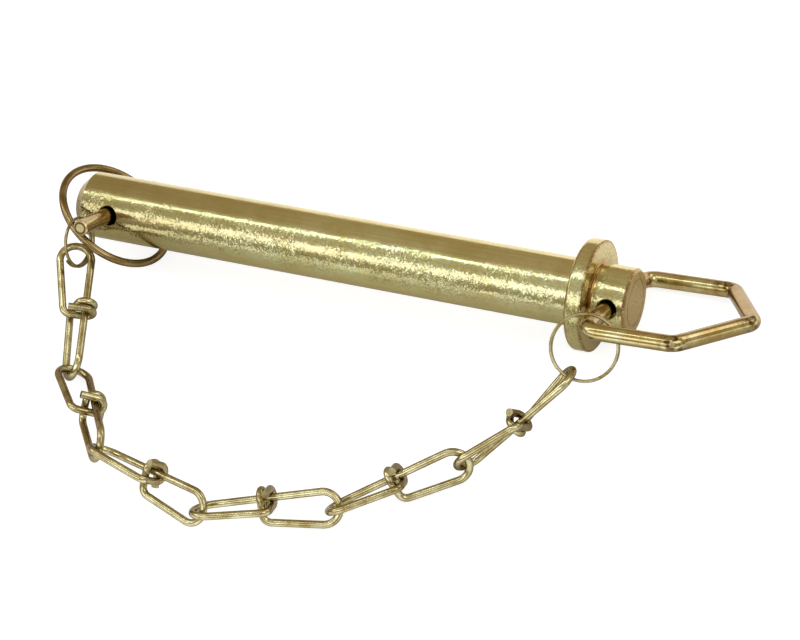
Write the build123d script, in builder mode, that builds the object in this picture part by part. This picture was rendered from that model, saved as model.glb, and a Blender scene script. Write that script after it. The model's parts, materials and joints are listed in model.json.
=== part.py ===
from build123d import *
import math
import os

# Drawbar hitch pin: a turned bolt with a collar, a wire bail through its head, a linch pin with
# a spring ring through its tip, and a chain of knotted wire links that ties the two together.
# Millimetres. The bolt's axis is X, from the tip at -X to the head at +X. The origin is on that
# axis, on the collar's seat. The pin lies on a floor one collar radius under the axis.

os.makedirs("parts", exist_ok=True)

# ---- bolt ----
SHAFT_DIA = 25.0
SHAFT_LENGTH = 203.0          # from the collar's seat to the end of the tip
TIP_CHAMFER = 4.2
COLLAR_DIA = 41.0
COLLAR_THICKNESS = 6.6
COLLAR_SEAT_EDGE = 1.6        # rounded rim on the shaft's side
COLLAR_HEAD_EDGE = 0.5        # rounded rim on the head's side
HEAD_DIA = 25.0
HEAD_LENGTH = 13.7
HEAD_CHAMFER = 1.0
HEAD_FOOT_FILLET = 1.5
BAIL_HOLE_FROM_END = 6.8      # hole's centre from the head's end face
LINCH_HOLE_FROM_END = 15.6    # hole's centre from the end of the tip
HOLE_BREAK = 0.4              # broken edge round both cross holes
END_RING_DIA = 17.5           # turned ring in the head's end face
END_RING_DEPTH = 0.25
CENTRE_DIA = 1.6              # centre mark left by the lathe

# ---- bail: two legs in the head's hole, two arms, two slanting bars that meet in a point ----
BAIL_WIRE = 6.0
BAIL_PLAY = 0.6               # radial play of the legs in the hole
BAIL_HALF_WIDTH = 32.2        # middle of the bail to the middle of an arm
BAIL_SHIFT = 1.35             # how far the bail has slid to the front in its hole
BAIL_SAG = 1.0                # arms below the middle of the hole
BAIL_SKEW = 1.6               # degrees that the bail is turned sideways in its hole
BAIL_ARM = 33.7               # hinge line to the arm's end
BAIL_REACH = 51.3             # hinge line to the point
BAIL_RAISE = 2.5              # degrees above the bolt's axis
BAIL_BEND = 5.0               # bend radius, middle of the wire
BAIL_LEG_GAP = 1.6            # between the two legs' ends inside the hole

# ---- linch pin ----
ROD_DIA = 6.0
ROD_PLAY = 0.75               # radial play of the rod in its hole
ROD_SHIFT = 0.45              # how far the rod lies to the tip's side of the hole
ROD_OUT = 32.5                # bolt's axis to the rod's front end
ROD_CHAMFER = 0.5
LINCH_HEAD_DIA = 9.6
LINCH_HEAD_GAP = 0.4          # head's shoulder to the shaft
LINCH_HEAD_LENGTH = 14.8
LINCH_HEAD_EDGE = 0.8
EYE_FROM_SHOULDER = 8.67      # cross hole for the spring ring's ends
EYE_PLAY = 0.1
HOLES_TWIST = 2.5             # degrees between the bolt's two cross holes

# ---- spring ring ----
SPRING_WIRE = 3.0
SPRING_RADIUS = 22.65         # middle of the wire
SPRING_TURN = 50.87           # degrees that the ring is turned about the rod
SPRING_SWING = 10.68           # degrees that the ring is swung on the eye
SPRING_FLAT = 17.0            # degrees of the ring's back taken by each straight end
SPRING_KINK = 3.5             # bend radius where the ring becomes its straight ends
SPRING_END_GAP = 1.2          # between the two ends inside the eye

# ---- split rings ----
SPLIT_WIRE = 1.2
LEFT_RING_DIA = 19.5          # outside
RIGHT_RING_DIA = 24.9         # outside
COIL_STEP = 1.25              # from one turn to the next
COIL_SIXTHS = 10              # length of the coil in sixths of a turn

# ---- chain ----
CHAIN_WIRE = 2.8
PITCH = 48.30                 # from one joint to the next
LOOP_WIDTH = 13.0             # spine to returning strand at the loop's end, middle to middle
KNOT_WIDTH = 8.0              # spine to returning strand at the knot
LOOP_SLACK = 1.60             # play of two hooked loops along the chain
HOOK_GAP = 0.3                # spine to the hooks wound round it
KNOT_BEND = 3.2
KNOT_STEP = 1.6               # each hook's distance past the link's middle
KNOT_TAIL = 6.5               # cut end's length past the spine
# One entry for each link, tip to head: heading on the floor, roll about the link's own axis, and
# the angle between its two loops, in degrees.
HEADINGS = (-71.92, -49.91, -17.41, 19.14, 33.34, 49.17)
ROLLS = (160.9, 143.6, 126.3, 143.7, 138.1, 104.5)
TWISTS = (72, 97, 102, 85, 111, -143)
# Height above the floor of the joints between two links, tip to head.
JOINT_HEIGHTS = (4.86, 13.69, 10.21, 5.65, 10.54)

axis_height = COLLAR_DIA / 2
floor_z = -axis_height


def unit(x, y, z):
    return Vector(x, y, z).normalized()


# The bail's rear corner touches the floor, which sets how far the bolt is rolled.
bail_wire_r = BAIL_WIRE / 2
bail_rear = BAIL_HALF_WIDTH - BAIL_SHIFT
bail_slope = math.asin((axis_height - bail_wire_r) / math.hypot(bail_rear, BAIL_SAG))
bail_slope -= math.atan(BAIL_SAG / bail_rear)
bail_front = unit(0, -math.cos(bail_slope), math.sin(bail_slope))
linch_slope = bail_slope + math.radians(HOLES_TWIST)
linch_front = unit(0, -math.cos(linch_slope), math.sin(linch_slope))

head_end_x = COLLAR_THICKNESS + HEAD_LENGTH
bail_x = head_end_x - BAIL_HOLE_FROM_END
tip_end_x = -SHAFT_LENGTH
linch_x = tip_end_x + LINCH_HOLE_FROM_END
bail_hole_r = bail_wire_r + BAIL_PLAY
rod_r = ROD_DIA / 2
linch_hole_r = rod_r + ROD_PLAY


def wire_round(radius, corners, radii):
    """Round wire along straight runs, with one bend radius for each inner corner."""
    with BuildPart() as wire:
        with BuildLine() as path:
            start = Vector(*corners[0])
            for before, corner, after, r in zip(corners, corners[1:], corners[2:], radii):
                corner = Vector(*corner)
                back = (Vector(*before) - corner).normalized()
                ahead = (Vector(*after) - corner).normalized()
                half = math.radians(back.get_angle(ahead)) / 2
                enter = corner + back * (r / math.tan(half))
                leave = corner + ahead * (r / math.tan(half))
                middle = corner + (back + ahead).normalized() * (r / math.sin(half) - r)
                if (enter - start).length > 0.01:
                    Line(start, enter)
                ThreePointArc(enter, middle, leave)
                start = leave
            if (Vector(*corners[-1]) - start).length > 0.01:
                Line(start, Vector(*corners[-1]))
        with BuildSketch(Plane(origin=path.line @ 0, z_dir=path.line % 0)):
            Circle(radius)
        sweep(path=path.line)
    return wire


def split_ring(plane, dia):
    """Coil of nearly two turns, as arcs that run on into each other, centred on the plane."""
    mid_r = (dia - SPLIT_WIRE) / 2
    out_r = mid_r / math.cos(math.pi / 6)
    corners = []
    for k in range(COIL_SIXTHS + 2):
        angle = k * math.pi / 3
        rise = (k - (COIL_SIXTHS + 1) / 2) * COIL_STEP / 6
        corner = (out_r * math.cos(angle), out_r * math.sin(angle), rise)
        corners.append(plane.from_local_coords(corner))
    half_edge = (corners[1] - corners[0]).length / 2
    half_corner = math.radians((corners[0] - corners[1]).get_angle(corners[2] - corners[1])) / 2
    corners[0] = (corners[0] + corners[1]) / 2
    corners[-1] = (corners[-1] + corners[-2]) / 2
    bend = half_edge * math.tan(half_corner)
    return wire_round(SPLIT_WIRE / 2, corners, [bend] * COIL_SIXTHS)


# ---- bolt: turned in one piece, collar and head included ----
with BuildPart() as bolt:
    with BuildSketch(Plane.XZ) as profile:
        with BuildLine():
            Polyline(
                (tip_end_x, 0),
                (tip_end_x, SHAFT_DIA / 2 - TIP_CHAMFER),
                (tip_end_x + TIP_CHAMFER, SHAFT_DIA / 2),
                (0, SHAFT_DIA / 2),
                (0, COLLAR_DIA / 2),
                (COLLAR_THICKNESS, COLLAR_DIA / 2),
                (COLLAR_THICKNESS, HEAD_DIA / 2),
                (head_end_x - HEAD_CHAMFER, HEAD_DIA / 2),
                (head_end_x, HEAD_DIA / 2 - HEAD_CHAMFER),
                (head_end_x, 0),
                close=True,
            )
        make_face()
    revolve(axis=Axis.X)
    rims = bolt.edges().filter_by(GeomType.CIRCLE).group_by(lambda e: e.radius)[-1].sort_by(Axis.X)
    fillet(rims[0], COLLAR_SEAT_EDGE)
    rims = bolt.edges().filter_by(GeomType.CIRCLE).group_by(lambda e: e.radius)[-1].sort_by(Axis.X)
    fillet(rims[-1], COLLAR_HEAD_EDGE)
    foot = [
        e
        for e in bolt.edges().filter_by(GeomType.CIRCLE)
        if abs(e.center().X - COLLAR_THICKNESS) < 0.01 and abs(e.radius - HEAD_DIA / 2) < 0.01
    ]
    fillet(foot, HEAD_FOOT_FILLET)
    for x, front, hole_r, bar_r in (
        (bail_x, bail_front, bail_hole_r, HEAD_DIA / 2),
        (linch_x, linch_front, linch_hole_r, SHAFT_DIA / 2),
    ):
        with BuildSketch(Plane(origin=(x, 0, 0), z_dir=front)):
            Circle(hole_r)
        extrude(amount=bar_r + 1, both=True, mode=Mode.SUBTRACT)
        mouths = [
            e
            for e in bolt.edges()
            if e.geom_type != GeomType.CIRCLE and abs(e.center().X - x) < hole_r + 0.01
        ]
        chamfer(mouths, HOLE_BREAK)
    with BuildSketch(Plane(origin=(head_end_x, 0, 0), z_dir=(1, 0, 0))):
        Circle(END_RING_DIA / 2)
        Circle(END_RING_DIA / 2 - 0.35, mode=Mode.SUBTRACT)
    extrude(amount=-END_RING_DEPTH, mode=Mode.SUBTRACT)
    with Locations(Location((head_end_x, 0, 0), (0, 90, 0))):
        Cone(0.1, CENTRE_DIA / 2, CENTRE_DIA / 2, mode=Mode.SUBTRACT, align=(Align.CENTER, Align.CENTER, Align.MAX))
bolt.part.label = "bolt"
export_step(bolt.part, "parts/bolt.step")

# ---- bail ----
bail_up = unit(0, math.sin(bail_slope), math.cos(bail_slope))
skew_angle = math.radians(BAIL_SKEW)
leg_dir = bail_front * math.cos(skew_angle) - Vector(math.sin(skew_angle), 0, 0)
arm_level = bail_front * math.sin(skew_angle) + Vector(math.cos(skew_angle), 0, 0)
raise_angle = math.radians(BAIL_RAISE)
arm_dir = arm_level * math.cos(raise_angle) + bail_up * math.sin(raise_angle)
bail_plane = Plane(
    origin=Vector(bail_x, 0, 0) - bail_up * BAIL_SAG, x_dir=leg_dir, z_dir=leg_dir.cross(arm_dir)
)
front_x = BAIL_SHIFT + BAIL_HALF_WIDTH
rear_x = BAIL_SHIFT - BAIL_HALF_WIDTH
leg_ends = [Vector(bail_x, 0, 0) + leg_dir * (side * BAIL_LEG_GAP / 2) for side in (1, -1)]
bends = [(front_x, 0), (front_x, BAIL_ARM), (0, BAIL_REACH), (rear_x, BAIL_ARM), (rear_x, 0)]
bail_corners = [bail_plane.from_local_coords((x, y, 0)) for x, y in bends]
bail = wire_round(
    bail_wire_r,
    [leg_ends[0]] + bail_corners + [leg_ends[1]],
    [BAIL_BEND] * 5,
)
bail.part.label = "bail"
export_step(bail.part, "parts/bail.step")

# ---- linch pin: rod and head turned in one piece, eye through the head ----
rod_x = linch_x - ROD_SHIFT
shoulder = -(SHAFT_DIA / 2 + LINCH_HEAD_GAP)
linch_plane = Plane(origin=(rod_x, 0, 0), x_dir=(1, 0, 0), z_dir=linch_front)
eye_centre = Vector(rod_x, 0, 0) + linch_front * (shoulder - EYE_FROM_SHOULDER)
linch_up = unit(0, math.sin(linch_slope), math.cos(linch_slope))
turn = math.radians(SPRING_TURN)
eye_axis = linch_up * math.cos(turn) - Vector(math.sin(turn), 0, 0)
with BuildPart() as linch_pin:
    with BuildSketch(linch_plane.offset(shoulder - LINCH_HEAD_LENGTH)):
        Circle(LINCH_HEAD_DIA / 2)
    extrude(amount=LINCH_HEAD_LENGTH)
    fillet(linch_pin.edges().filter_by(GeomType.CIRCLE), LINCH_HEAD_EDGE)
    with BuildSketch(linch_plane.offset(shoulder)):
        Circle(rod_r)
    extrude(amount=ROD_OUT - shoulder)
    rod_end = linch_pin.edges().filter_by(GeomType.CIRCLE).sort_by(Axis((rod_x, 0, 0), linch_front))[-1]
    chamfer(rod_end, ROD_CHAMFER)
    with BuildSketch(Plane(origin=eye_centre, z_dir=eye_axis)):
        Circle(SPRING_WIRE / 2 + EYE_PLAY)
    extrude(amount=LINCH_HEAD_DIA, both=True, mode=Mode.SUBTRACT)
linch_pin.part.label = "linch_pin"
export_step(linch_pin.part, "parts/linch_pin.step")

# ---- spring ring: sprung wire, both ends in the eye ----
swing = math.radians(SPRING_SWING)
ring_out = linch_front * math.cos(swing) - eye_axis.cross(linch_front) * math.sin(swing)
ring_plane = Plane(origin=eye_centre, x_dir=ring_out, z_dir=ring_out.cross(eye_axis))
end_reach = (SPRING_RADIUS - SPRING_KINK) * math.sin(math.radians(SPRING_FLAT))
with BuildPart() as spring_ring:
    with BuildLine(ring_plane) as path:
        upper_end = Line((0, SPRING_END_GAP / 2), (0, end_reach))
        kink = JernArc(upper_end @ 1, upper_end % 1, SPRING_KINK, -SPRING_FLAT)
        round_part = JernArc(kink @ 1, kink % 1, SPRING_RADIUS, -(360 - 2 * SPRING_FLAT))
        kink = JernArc(round_part @ 1, round_part % 1, SPRING_KINK, -SPRING_FLAT)
        Line(kink @ 1, (0, -SPRING_END_GAP / 2))
    with BuildSketch(Plane(origin=path.line @ 0, z_dir=path.line % 0)):
        Circle(SPRING_WIRE / 2)
    sweep(path=path.line)
spring_ring.part.label = "spring_ring"
export_step(spring_ring.part, "parts/spring_ring.step")

# ---- left split ring: hooked on the front of the spring ring ----
ring_middle = SPRING_KINK + (SPRING_RADIUS - SPRING_KINK) * math.cos(math.radians(SPRING_FLAT))
ring_front = eye_centre + ring_out * (ring_middle + SPRING_RADIUS)
left_centre = ring_front + Vector(-1.22, -0.97, -2.88)
left_split_ring = split_ring(
    Plane(origin=left_centre, x_dir=(-0.038, -0.888, 0.459), z_dir=(0.990, 0.029, 0.139)),
    LEFT_RING_DIA,
)
left_split_ring.part.label = "left_split_ring"
export_step(left_split_ring.part, "parts/left_split_ring.step")

# ---- right split ring: hooked on the bail's front bend ----
right_centre = bail_corners[0] + Vector(0.89, -3.05, -5.76)
right_split_ring = split_ring(
    Plane(origin=right_centre, x_dir=(0.709, -0.432, -0.557), z_dir=(0.221, -0.614, 0.758)),
    RIGHT_RING_DIA,
)
right_split_ring.part.label = "right_split_ring"
export_step(right_split_ring.part, "parts/right_split_ring.step")

# ---- chain: joints ----
first_joint = left_centre + Vector(-2.22, -1.11, -4.61)
last_joint = right_centre + Vector(-3.77, -8.88, -5.49)
heights = [first_joint.Z] + [floor_z + h for h in JOINT_HEIGHTS] + [last_joint.Z]
level_runs = [math.sqrt(PITCH**2 - (b - a) ** 2) for a, b in zip(heights, heights[1:])]


def chain_end(bow, skew):
    """Where the chain ends on the floor when its headings are widened by bow and turned by skew."""
    x = first_joint.X
    y = first_joint.Y
    for run, heading in zip(level_runs, HEADINGS):
        x += run * math.cos(math.radians(heading * bow + skew))
        y += run * math.sin(math.radians(heading * bow + skew))
    return x, y


# The bow and the skew that bring the last joint to its place, by Newton's steps.
bow = 1.0
skew = 0.0
for _ in range(30):
    x, y = chain_end(bow, skew)
    x_bow, y_bow = chain_end(bow + 0.001, skew)
    x_skew, y_skew = chain_end(bow, skew + 0.1)
    a, b = (x_bow - x) / 0.001, (x_skew - x) / 0.1
    c, d = (y_bow - y) / 0.001, (y_skew - y) / 0.1
    miss_x, miss_y = last_joint.X - x, last_joint.Y - y
    det = a * d - b * c
    bow += (miss_x * d - b * miss_y) / det
    skew += (a * miss_y - c * miss_x) / det

joints = [first_joint]
for run, heading, height in zip(level_runs, HEADINGS, heights[1:]):
    angle = math.radians(heading * bow + skew)
    last = joints[-1]
    joints.append(Vector(last.X + run * math.cos(angle), last.Y + run * math.sin(angle), height))

# ---- chain: links ----
hook_r = CHAIN_WIRE + HOOK_GAP


def link(start, end, roll, twist):
    """One wire: spine, a loop at each end, both ends hooked round the spine's middle."""
    # The second loop lies in a plane turned by twist about the spine.
    def second(x, out, aside):
        t = math.radians(twist)
        y = out * math.cos(t) + aside * math.sin(t)
        z = out * math.sin(t) - aside * math.cos(t)
        return Vector(x, y, z)

    first_touch = Vector(0, LOOP_WIDTH / 2, 0)
    second_touch = second(0, LOOP_WIDTH / 2, 0)
    across = (second_touch - first_touch).length
    between = math.sqrt((end - start).length ** 2 - across**2)
    reach = (between + CHAIN_WIRE + LOOP_SLACK) / 2
    local = [
        Vector(KNOT_STEP, KNOT_TAIL, -hook_r),
        Vector(KNOT_STEP, -hook_r, -hook_r),
        Vector(KNOT_STEP, -hook_r, hook_r),
        Vector(KNOT_STEP, KNOT_WIDTH, hook_r),
        Vector(-reach, LOOP_WIDTH, 0),
        Vector(-reach, 0, 0),
        Vector(reach, 0, 0),
        second(reach, LOOP_WIDTH, 0),
        second(-KNOT_STEP, KNOT_WIDTH, hook_r),
        second(-KNOT_STEP, -hook_r, hook_r),
        second(-KNOT_STEP, -hook_r, -hook_r),
        second(-KNOT_STEP, KNOT_TAIL, -hook_r),
    ]
    # Both bends of a loop's end have the radius that uses up the end's whole width.
    half_outer = math.radians((local[5] - local[4]).get_angle(local[3] - local[4])) / 2
    loop_bend = LOOP_WIDTH / (1 + 1 / math.tan(half_outer)) - 0.01
    bends = [hook_r, hook_r, KNOT_BEND] + [loop_bend] * 4 + [KNOT_BEND, hook_r, hook_r]
    # The line through the link's two touching points goes onto the line through its two joints.
    own_start = Vector(-between / 2, 0, 0) + first_touch
    own_axis = (Vector(between / 2, 0, 0) + second_touch - own_start).normalized()
    own_side = (Vector(0, 1, 0) - own_axis * own_axis.Y).normalized()
    own = Plane(origin=own_start, x_dir=own_axis, z_dir=own_axis.cross(own_side))
    axis = (end - start).normalized()
    level = Vector(0, 0, 1).cross(axis).normalized()
    side = level * math.cos(math.radians(roll)) + axis.cross(level) * math.sin(math.radians(roll))
    laid = Plane(origin=start, x_dir=axis, z_dir=axis.cross(side))
    corners = [laid.from_local_coords(own.to_local_coords(p)) for p in local]
    return wire_round(CHAIN_WIRE / 2, corners, bends)


for k, (start, end, roll, twist) in enumerate(zip(joints, joints[1:], ROLLS, TWISTS), 1):
    chain_link = link(start, end, roll, twist)
    chain_link.part.label = f"chain_link_{k}"
    export_step(chain_link.part, f"parts/chain_link_{k}.step")
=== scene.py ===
import json

import bmesh
import bpy
from mathutils import Matrix, Vector


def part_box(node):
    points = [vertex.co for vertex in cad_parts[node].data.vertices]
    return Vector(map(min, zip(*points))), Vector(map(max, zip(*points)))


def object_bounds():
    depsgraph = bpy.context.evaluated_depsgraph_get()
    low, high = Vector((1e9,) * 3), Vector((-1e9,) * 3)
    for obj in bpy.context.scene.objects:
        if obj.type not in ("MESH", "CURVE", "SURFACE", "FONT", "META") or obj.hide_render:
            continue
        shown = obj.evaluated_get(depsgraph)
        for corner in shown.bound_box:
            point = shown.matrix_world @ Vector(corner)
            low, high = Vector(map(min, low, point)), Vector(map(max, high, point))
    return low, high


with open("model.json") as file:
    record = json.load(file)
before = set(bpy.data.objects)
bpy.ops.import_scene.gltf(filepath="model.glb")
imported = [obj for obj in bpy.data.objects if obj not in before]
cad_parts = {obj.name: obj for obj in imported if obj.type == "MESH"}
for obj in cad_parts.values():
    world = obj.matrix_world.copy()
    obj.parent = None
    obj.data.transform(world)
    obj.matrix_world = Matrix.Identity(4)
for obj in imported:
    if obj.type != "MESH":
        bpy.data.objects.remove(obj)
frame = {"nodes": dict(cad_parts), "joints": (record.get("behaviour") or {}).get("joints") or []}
cad_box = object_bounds()

# ---- Camera ----
# A long lens looks down on the pin from in front of the chain, rolled so that the bolt falls
# away to the right.
camera = bpy.data.objects.new("camera", bpy.data.cameras.new("camera"))
camera.data.lens = 135
camera.data.sensor_width = 36
camera.data.clip_end = 20
bpy.context.scene.collection.objects.link(camera)
camera_at = Vector((0.328726, -0.618017, 0.825727))
looking = Vector((-0.35837, 0.54346, -0.75910)).normalized()
to_right = Vector((0.91693, 0.35778, -0.17673))
to_right = (to_right - looking * to_right.dot(looking)).normalized()
upright = to_right.cross(looking)
turned = Matrix((to_right, upright, -looking)).transposed()
camera.matrix_world = Matrix.Translation(camera_at) @ turned.to_4x4()
bpy.context.scene.camera = camera

# ---- Studio: paper, room and lamps ----
# White paper under the pin and five soft boxes round it: in front, overhead, and at the right,
# the back right and the left. The camera sees paper and room as white. The plating mirrors them
# dimmer and warmer. In what it mirrors, the paper has painted shade right under the pin and a
# painted glow further off, which gives the plating its bands.
floor_size = 3.0
middle = Vector((-0.09, -0.03, 0))


def linear(hex_colour):
    """An sRGB hex colour as the linear colour that a shader takes."""
    channels = [int(hex_colour[i : i + 2], 16) / 255 for i in (1, 3, 5)]
    return [c / 12.92 if c <= 0.04045 else ((c + 0.055) / 1.055) ** 2.4 for c in channels] + [1.0]


def add(tree, kind, settings=None, **links):
    """Adds a node, sets its own settings, and sets or links its inputs by name or by number."""
    node = tree.nodes.new("ShaderNode" + kind)
    for name, value in (settings or {}).items():
        setattr(node, name, value)
    for name, value in links.items():
        key = int(name[1:]) if name[1:].isdigit() else name.replace("_", " ")
        if isinstance(value, bpy.types.NodeSocket):
            tree.links.new(value, node.inputs[key])
        else:
            node.inputs[key].default_value = value
    return node


def mix(tree, amount, one, other, blend="MIX"):
    """From one colour to the other as the amount goes from 0 to 1."""
    settings = {"data_type": "RGBA", "blend_type": blend}
    return add(tree, "Mix", settings, i0=amount, i6=one, i7=other).outputs[2]


def fade(tree, value, low, high, start=0.0, end=1.0):
    """From start to end as the value goes from low to high."""
    return add(tree, "MapRange", i0=value, i1=low, i2=high, i3=start, i4=end).outputs[0]


def new_tree(owner):
    """An empty node tree for a material or a world."""
    owner.use_nodes = True
    owner.node_tree.nodes.clear()
    return owner.node_tree


paper = bpy.data.materials.new("white_paper")
tree = new_tree(paper)
ray = add(tree, "LightPath")
matt = add(tree, "BsdfDiffuse", Color=linear("#B4B4B4"))
glow = add(tree, "Emission", Color=(1, 1, 1, 1), Strength=0.8)
seen = add(tree, "AddShader", i0=matt.outputs[0], i1=glow.outputs[0])
depth = add(tree, "SeparateXYZ", Vector=add(tree, "TexCoord").outputs["Object"]).outputs["Y"]
# In reflections the paper is darker and glows less under the pin: painted shade. Further off its
# glow is painted light.
near = fade(tree, depth, -0.16, -0.06)
far = fade(tree, depth, 0.0, 0.06)
ground_with_painted_shade = mix(tree, near, linear("#F6F3E8"), linear("#D6D0B8"))
ground_with_painted_shade = mix(tree, far, ground_with_painted_shade, linear("#F4EEDC"))
painted_shade_under_pin = add(tree, "Math", {"operation": "SUBTRACT"}, i0=near, i1=far).outputs[0]
strength = fade(tree, painted_shade_under_pin, 0.0, 1.0, 0.72, 0.08)
painted_paper_glow = add(tree, "Emission", Color=linear("#FFFDF4"), Strength=strength)
matt = add(tree, "BsdfDiffuse", Color=ground_with_painted_shade)
mirrored = add(tree, "AddShader", i0=matt.outputs[0], i1=painted_paper_glow.outputs[0])
both = add(
    tree, "MixShader", i0=ray.outputs["Is Camera Ray"], i1=mirrored.outputs[0], i2=seen.outputs[0]
)
add(tree, "OutputMaterial", Surface=both.outputs[0])

mesh = bpy.data.meshes.new("floor")
shape = bmesh.new()
bmesh.ops.create_grid(shape, x_segments=1, y_segments=1, size=floor_size)
bmesh.ops.translate(shape, verts=shape.verts, vec=(0, 0, cad_box[0][2]))
shape.to_mesh(mesh)
shape.free()
floor = bpy.data.objects.new("floor", mesh)
floor.data.materials.append(paper)
bpy.context.scene.collection.objects.link(floor)

world = bpy.data.worlds.new("studio")
bpy.context.scene.world = world
tree = new_tree(world)
ray = add(tree, "LightPath")
axes = add(tree, "SeparateXYZ", Vector=add(tree, "TexCoord").outputs["Generated"])
behind = fade(tree, axes.outputs["Y"], 0.0, 0.25)
height = fade(tree, axes.outputs["Z"], 0.1, 0.4)
front = mix(tree, height, linear("#9C9276"), linear("#C6BDA0"))
room = mix(tree, behind, front, linear("#B5A27E"))
room = mix(tree, ray.outputs["Is Glossy Ray"], linear("#B0B0B0"), room)
dim = add(tree, "Background", Color=room, Strength=1.0)
white = add(tree, "Background", Color=(1, 1, 1, 1), Strength=1.0)
both = add(
    tree, "MixShader", i0=ray.outputs["Is Camera Ray"], i1=dim.outputs[0], i2=white.outputs[0]
)
add(tree, "OutputWorld", Surface=both.outputs[0])


def soft_box(name, place, width, depth, power, colour, along=(1, 0, 0)):
    """An area lamp that faces the pin, its width along the given axis."""
    light = bpy.data.lights.new(name, "AREA")
    light.shape = "RECTANGLE"
    light.size = width
    light.size_y = depth
    light.energy = power
    light.color = linear(colour)[:3]
    lamp = bpy.data.objects.new(name, light)
    away = (Vector(place) - middle).normalized()
    side = Vector(along)
    side = (side - away * side.dot(away)).normalized()
    facing = Matrix((side, away.cross(side), away)).transposed()
    lamp.matrix_world = Matrix.Translation(place) @ facing.to_4x4()
    bpy.context.scene.collection.objects.link(lamp)


soft_box("soft_box_front", (-0.52, -1.08, 0.82), 1.9, 0.5, 4.4, "#FAFCFF")
soft_box("soft_box_overhead", (-0.5, -0.06, 1.2), 2.0, 0.11, 2.7, "#F4FFF6")
soft_box("soft_box_right", (0.88, -0.1, 1.0), 0.7, 0.7, 2.4, "#FFFDF2", along=(0, 1, 0))
soft_box("soft_box_back_right", (0.66, 1.0, 0.62), 0.8, 0.5, 1.5, "#FFFDF2")
soft_box("soft_box_left", (-1.25, -0.12, 0.72), 0.8, 0.4, 1.2, "#FFFDF2", along=(0, 1, 0))

# ---- Bolt ----
# Turned from one steel bar, blasted and barrel plated with zinc, then dipped in yellow chromate.
# Pale olive gold and gritty, browner on the end faces and at the rims.
bolt_low, bolt_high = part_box("bolt")
tip_mm = 1000 * bolt_low[0]
head_end_mm = 1000 * bolt_high[0]
collar_radius_mm = 1000 * bolt_high[2]
collar_top_mm = 6.6
bar_radius_mm = 12.5
blasted_side = (0, -0.82, 0.57)
flake_mm = 0.5  # drawn coarser than real grit, which would not show


def plating(
    name,
    tints,
    cloud_mm,
    grit_mm,
    grit_depth_mm,
    rough,
    specks,
    streak_mm=None,
    marks=None,
    flakes=0.0,
):
    """Yellow zinc plating, with pits and grit in patches.

    The first two tints lie in clouds, and the third shows where the surface turns away. Specks
    say how dark the pits are, and flakes how far the sparkling facets of the grit lean. Marks
    is a function that adds the piece's own wear, and on the bolt's tip and the bail's bends
    painted shade.
    """
    pale, deep, glance = (linear(tint) for tint in tints)
    material = bpy.data.materials.new(name)
    tree = new_tree(material)
    where = add(tree, "TexCoord").outputs["Object"]
    cloud = add(tree, "TexNoise", Vector=where, Scale=1000 / cloud_mm, Detail=3.0, Roughness=0.6)
    tint = mix(tree, fade(tree, cloud.outputs[0], 0.38, 0.62), pale, deep)
    facing = add(tree, "LayerWeight", Blend=0.5).outputs["Facing"]
    colour = mix(tree, fade(tree, facing, 0.2, 0.75), tint, glance)
    if streak_mm:
        along = add(tree, "Mapping", Vector=where, Scale=(0.01, 1.0, 1.0)).outputs[0]
        lines = add(tree, "TexNoise", Vector=along, Scale=1000 / streak_mm, Detail=3.0)
        band = fade(tree, lines.outputs[0], 0.35, 0.65)
        film = mix(tree, band, linear("#F6EADC"), linear("#F2FFEC"))
        colour = mix(tree, 1.0, colour, film, "MULTIPLY")

    fine = add(tree, "TexNoise", Vector=where, Scale=1000 / grit_mm, Detail=3.0, Roughness=0.8)
    fine = fine.outputs[0]
    patch_mm = cloud_mm * 0.7
    patch = add(tree, "TexNoise", Vector=where, Scale=1000 / patch_mm, Detail=3.0, Roughness=0.65)
    patch = patch.outputs[0]
    amount = fade(tree, patch, 0.42, 0.6, 0.25, 1.0)
    shine = fade(tree, patch, 0.4, 0.62, rough * 0.8, rough * 1.3)
    if marks:
        colour, shine, amount = marks(tree, where, colour, shine, fine, amount)
    pits = fade(tree, fine, 0.4, 0.58, 1 - specks, 1 + specks * 0.5)
    colour = mix(tree, amount, colour, pits, "MULTIPLY")

    relief = times(tree, fine, amount)
    bump = add(tree, "Bump", Height=relief, Strength=1.0, Distance=grit_depth_mm / 1000).outputs[0]
    if flakes:
        cells = add(tree, "TexVoronoi", Vector=where, Scale=1000 / flake_mm).outputs["Color"]
        tilt = vector(tree, "SUBTRACT", cells, (0.5, 0.5, 0.5))
        lean = times(tree, amount, flakes)
        tilt = add(tree, "VectorMath", {"operation": "SCALE"}, i0=tilt, i3=lean).outputs[0]
        bump = vector(tree, "NORMALIZE", vector(tree, "ADD", bump, tilt))
    metal = add(
        tree, "BsdfPrincipled", Base_Color=colour, Metallic=1.0, Roughness=shine, Normal=bump
    )
    add(tree, "OutputMaterial", Surface=metal.outputs[0])
    return material


def vector(tree, operation, one, other=None):
    """Vector arithmetic. A length, a distance or a dot product comes out as a number."""
    second = {} if other is None else {"i1": other}
    node = add(tree, "VectorMath", {"operation": operation}, i0=one, **second)
    is_number = operation in ("LENGTH", "DISTANCE", "DOT_PRODUCT")
    return node.outputs["Value" if is_number else "Vector"]


def ramp(tree, value, low_mm, high_mm):
    """0 to 1 as a length in metres goes from one value in millimetres to another."""
    return fade(tree, value, low_mm / 1000, high_mm / 1000)


def times(tree, *values):
    """The product of two or more numbers."""
    product = values[0]
    for value in values[1:]:
        product = add(tree, "Math", {"operation": "MULTIPLY"}, i0=product, i1=value).outputs[0]
    return product


def tinted(tree, mask, base, tint):
    """The base colour, with a tint where the mask is 1."""
    return mix(tree, mask, base, linear(tint))


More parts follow.
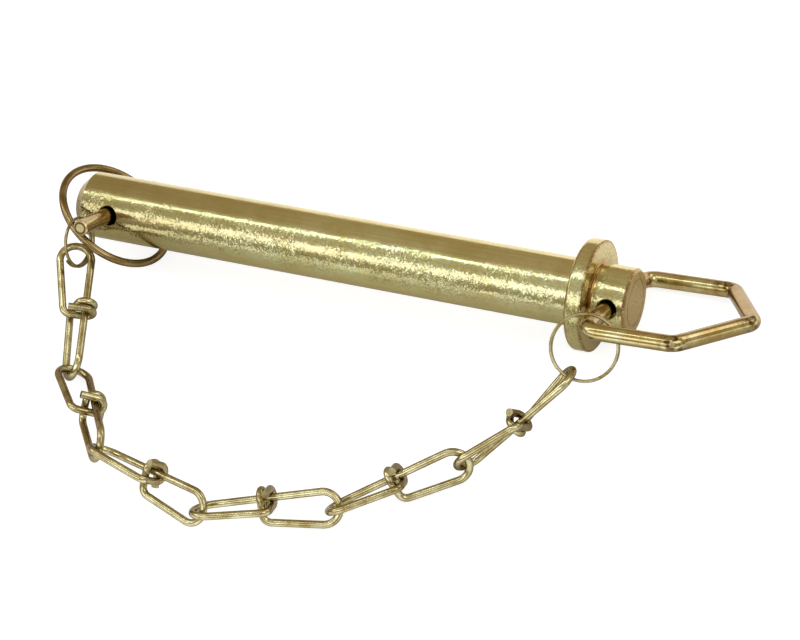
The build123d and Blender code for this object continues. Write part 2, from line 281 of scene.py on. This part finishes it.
def bolt_marks(tree, where, colour, shine, fine, amount):
    """Matt end faces, brown rims, and a coarse blasted band along the shaft's front."""
    axes = add(tree, "SeparateXYZ", Vector=where)
    x = axes.outputs["X"]
    across = add(tree, "CombineXYZ", Y=axes.outputs["Y"], Z=axes.outputs["Z"]).outputs[0]
    radius = vector(tree, "LENGTH", across)
    outward = vector(tree, "NORMALIZE", across)
    side = vector(tree, "DOT_PRODUCT", outward, blasted_side)
    ragged = fade(tree, fine, 0.35, 0.6)

    end_face = ramp(tree, x, head_end_mm - 0.4, head_end_mm - 0.1)
    end_rim = times(
        tree,
        ramp(tree, x, head_end_mm - 1.4, head_end_mm - 0.9),
        ramp(tree, x, head_end_mm + 0.1, head_end_mm - 0.1),
        ramp(tree, radius, bar_radius_mm - 1.2, bar_radius_mm - 0.5),
        ragged,
    )
    collar_rim = times(
        tree,
        ramp(tree, x, collar_top_mm - 1.4, collar_top_mm - 0.4),
        ramp(tree, x, collar_top_mm + 0.8, collar_top_mm + 0.4),
        ramp(tree, radius, collar_radius_mm - 1.1, collar_radius_mm - 0.5),
        ragged,
    )
    seat_rim = times(
        tree,
        ramp(tree, x, 1.6, 0.8),
        ramp(tree, x, -0.5, 0.2),
        ramp(tree, radius, collar_radius_mm - 1.9, collar_radius_mm - 0.9),
        ragged,
    )
    head_foot = times(
        tree,
        ramp(tree, x, collar_top_mm - 0.3, collar_top_mm + 0.1),
        ramp(tree, x, collar_top_mm + 1.6, collar_top_mm + 0.8),
        ramp(tree, radius, bar_radius_mm + 2.1, bar_radius_mm + 0.7),
    )
    tip_half = fade(tree, x, -0.09, -0.19, 0.0, 0.45)
    # The tip's chamfer is darkened: painted shade, standing in for the spring ring's shade and
    # dark reflection there.
    tip_chamfer_painted_shade = ramp(tree, x, tip_mm + 4.4, tip_mm + 3.4)
    colour = tinted(tree, end_face, colour, "#C2AA7A")
    colour = tinted(tree, end_rim, colour, "#8E5A34")
    colour = tinted(tree, collar_rim, colour, "#84502C")
    colour = tinted(tree, seat_rim, colour, "#94703E")
    colour = tinted(tree, head_foot, colour, "#9A7444")
    colour = tinted(tree, tip_half, colour, "#A4946A")
    colour = tinted(tree, tip_chamfer_painted_shade, colour, "#8E764A")

    shine = add(tree, "Mix", i0=end_face, i2=shine, i3=0.42).outputs[0]
    band = fade(tree, side, 0.72, 0.93, 0.12, 1.0)
    past_seat = ramp(tree, x, -2.0, 0.0)
    grit = add(tree, "Mix", i0=past_seat, i2=band, i3=0.65).outputs[0]
    return colour, shine, times(tree, amount, grit)


def dress(node, material):
    """Gives a CAD node its finish."""
    piece = frame["nodes"][node]
    piece.data.materials.clear()
    piece.data.materials.append(material)


turned_bar = plating(
    "zinc_on_turned_bar",
    ("#E4E3C9", "#D7D0AA", "#D0BD8E"),
    cloud_mm=16,
    grit_mm=0.9,
    grit_depth_mm=0.02,
    rough=0.18,
    specks=0.35,
    streak_mm=0.5,
    marks=bolt_marks,
    flakes=0.27,
)
dress("bolt", turned_bar)

# ---- Bail ----
# One length of drawn steel wire, bent cold and plated like the bolt. Smooth, with a brown cast,
# and dark where the bending tool squeezed it: tool marks, with painted shade for their dents.
bail_low, bail_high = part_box("bail")
wire_radius = 0.003
arm_reach = 0.0365  # from the legs' rear side to the bends at the arms' ends
point_inset = 0.004
arm_end = bail_low[0] + arm_reach
bends = (
    (arm_end, bail_low[1] + wire_radius),
    (arm_end, bail_high[1] - wire_radius),
    (bail_high[0] - point_inset, (bail_low[1] + bail_high[1]) / 2),
)
tatter_mm = 2.2


def bail_marks(tree, where, colour, shine, fine, amount):
    """Ragged dark patches at the three outer bends: tool marks, with painted shade for their
    dents.
    """
    axes = add(tree, "SeparateXYZ", Vector=where)
    flat = add(tree, "CombineXYZ", X=axes.outputs["X"], Y=axes.outputs["Y"]).outputs[0]
    ragged = add(tree, "TexNoise", Vector=where, Scale=1000 / tatter_mm, Detail=3.0).outputs[0]
    ragged = fade(tree, ragged, 0.44, 0.6)
    for bend in bends:
        away = vector(tree, "DISTANCE", flat, (*bend, 0))
        pinch_mark_and_painted_shade = times(tree, ramp(tree, away, 6.5, 3.0), ragged)
        colour = tinted(tree, pinch_mark_and_painted_shade, colour, "#6A5434")
    return colour, shine, amount


bail_wire = plating(
    "zinc_on_bail_wire",
    ("#DAD5AE", "#C2AE78", "#98744A"),
    cloud_mm=9,
    grit_mm=2.5,
    grit_depth_mm=0.004,
    rough=0.17,
    specks=0.15,
    marks=bail_marks,
)
dress("bail", bail_wire)

# ---- Linch pin ----
# Drawn rod with a thicker head, plated. The rod's end was cut off in a lathe and keeps its rings.
pivot = next(joint for joint in frame["joints"] if joint["name"] == "linch_pin_turn")
rod_end_mm = 32.5  # from the bolt's axis to the rod's front end


def rod_marks(tree, where, colour, shine, fine, amount):
    """Turned rings in the rod's front end."""
    axis = tuple(pivot["axis"])
    out = vector(tree, "SUBTRACT", where, tuple(pivot["pos_m"]))
    along = vector(tree, "DOT_PRODUCT", out, axis)
    aside = vector(tree, "LENGTH", vector(tree, "CROSS_PRODUCT", out, axis))
    end = ramp(tree, along, rod_end_mm - 0.5, rod_end_mm - 0.2)
    groove = times(tree, end, ramp(tree, aside, 1.5, 1.8), ramp(tree, aside, 2.6, 2.2))
    colour = tinted(tree, end, colour, "#D8CCA0")
    colour = tinted(tree, groove, colour, "#6E5432")
    return colour, add(tree, "Mix", i0=end, i2=shine, i3=0.35).outputs[0], amount


rod = plating(
    "zinc_on_drawn_rod",
    ("#DCD2B0", "#C6B488", "#A07C50"),
    cloud_mm=7,
    grit_mm=1.5,
    grit_depth_mm=0.006,
    rough=0.16,
    specks=0.2,
    marks=rod_marks,
)
dress("linch_pin", rod)

# ---- Spring ring ----
# Hard-drawn spring wire, rolled to a ring and plated. Darker and browner than the rod: painted
# shade for the shade and dark reflections beside the bolt. It has no marks of its own.
spring = plating(
    "zinc_on_spring_wire_with_painted_shade",
    ("#AC9C76", "#8C744A", "#603E20"),
    cloud_mm=8,
    grit_mm=2.0,
    grit_depth_mm=0.002,
    rough=0.22,
    specks=0.15,
)
dress("spring_ring", spring)

# ---- Split rings ----
# Two rings of thin spring wire, coiled nearly twice round and plated. The same finish serves
# both.
fine_wire = plating(
    "zinc_on_split_rings",
    ("#CAC4A4", "#A29264", "#80603C"),
    cloud_mm=6,
    grit_mm=2.0,
    grit_depth_mm=0.001,
    rough=0.28,
    specks=0.12,
)
dress("left_split_ring", fine_wire)
dress("right_split_ring", fine_wire)

# ---- Chain links ----
# Six wires, each bent into two loops and knotted round its own middle. They were barrel plated
# together, so all six share one finish.
chain_wire = plating(
    "zinc_on_chain_wire",
    ("#DEDAB8", "#AC9E74", "#7C6040"),
    cloud_mm=7,
    grit_mm=2.0,
    grit_depth_mm=0.002,
    rough=0.2,
    specks=0.15,
)
for k in range(1, 7):
    dress(f"chain_link_{k}", chain_wire)

bpy.context.scene.view_settings.view_transform = "Standard"
